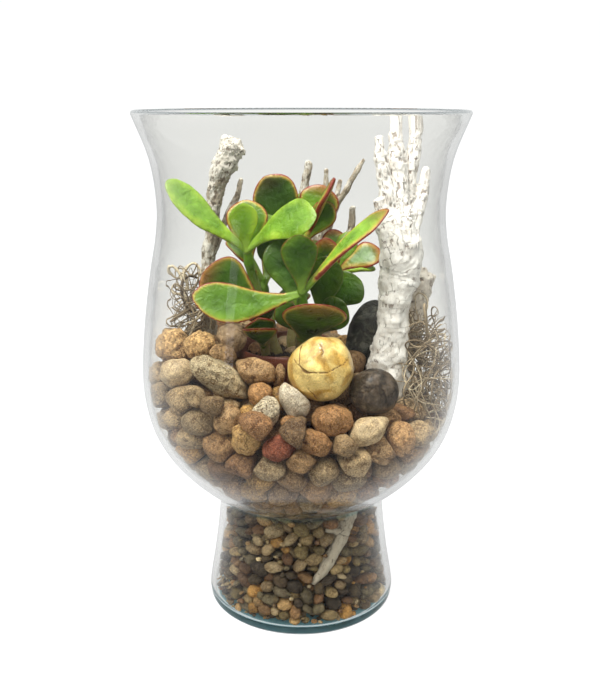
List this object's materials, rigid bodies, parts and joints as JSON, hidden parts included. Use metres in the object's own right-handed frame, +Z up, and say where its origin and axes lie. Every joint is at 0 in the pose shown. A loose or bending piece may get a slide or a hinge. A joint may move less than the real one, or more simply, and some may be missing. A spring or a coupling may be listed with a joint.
{
  "type": "succulent arrangement in vase",
  "caption": "Jade-like succulent in a nursery pot, set among river stones, driftwood and curly dried vine in a footed clear glass vase with gravel in its foot; stands on its base.",
  "frame": {"origin": "centre of the vase's base, on the surface it stands on", "axes": "+Z up along the vase's axis; -Y towards the viewer of the front"},
  "size_m": [0.1904, 0.1904, 0.3],
  "materials": {
    "clear_glass": "gloss",
    "pot_plastic": "satin",
    "potting_soil": "matte",
    "gravel": "satin",
    "river_stones": "satin",
    "succulent_leaf": "satin",
    "pale_driftwood": "matte",
    "grey_driftwood": "matte",
    "dried_vine": "matte",
    "stone_yellow": "polished",
    "stone_dark_round": "polished",
    "stone_dark_upright": "satin",
    "stone_cream": "satin",
    "stone_grey_long": "satin",
    "stone_tan_long": "satin",
    "stone_chip_upright": "satin",
    "stone_pale_oval": "satin",
    "stone_rust_oval": "satin",
    "stone_cream_flat": "satin",
    "stone_orange": "satin",
    "stone_brown_low": "satin",
    "stone_rough_small": "satin",
    "stone_grey_speckled": "satin",
    "stone_golden": "satin",
    "stone_red": "satin",
    "stone_umber": "satin",
    "stone_small_umber": "satin",
    "stone_tan_left": "satin",
    "stone_pumice_wall": "satin",
    "stone_pumice_front": "satin",
    "stone_pumice_small": "satin",
    "stone_by_leaf": "satin"
  },
  "bodies": {
    "root": {"vase": "clear_glass", "nursery_pot": "pot_plastic", "potting_soil": "potting_soil", "foot_gravel": "gravel", "stone_bed": "river_stones", "leafy_stem_left": "succulent_leaf", "leafy_stem_front": "succulent_leaf", "leafy_stem_middle": "succulent_leaf", "leafy_stem_right": "succulent_leaf", "leafy_stem_low": "succulent_leaf", "leafy_stem_back": "succulent_leaf", "driftwood_tall": "pale_driftwood", "driftwood_stump": "pale_driftwood", "driftwood_foot": "pale_driftwood", "driftwood_left": "grey_driftwood", "driftwood_back": "grey_driftwood", "vine_tuft_right": "dried_vine", "vine_tuft_left": "dried_vine", "stone_yellow": "stone_yellow", "stone_dark_round": "stone_dark_round", "stone_dark_upright": "stone_dark_upright", "stone_cream": "stone_cream", "stone_grey_long": "stone_grey_long", "stone_tan_long": "stone_tan_long", "stone_chip_upright": "stone_chip_upright", "stone_pale_oval": "stone_pale_oval", "stone_rust_oval": "stone_rust_oval", "stone_cream_flat": "stone_cream_flat", "stone_orange": "stone_orange", "stone_brown_low": "stone_brown_low", "stone_rough_small": "stone_rough_small", "stone_grey_speckled": "stone_grey_speckled", "stone_golden": "stone_golden", "stone_red": "stone_red", "stone_umber": "stone_umber", "stone_small_umber": "stone_small_umber", "stone_tan_left": "stone_tan_left", "stone_pumice_wall": "stone_pumice_wall", "stone_pumice_front": "stone_pumice_front", "stone_pumice_small": "stone_pumice_small", "stone_by_leaf": "stone_by_leaf"}
  },
  "joints": []
}
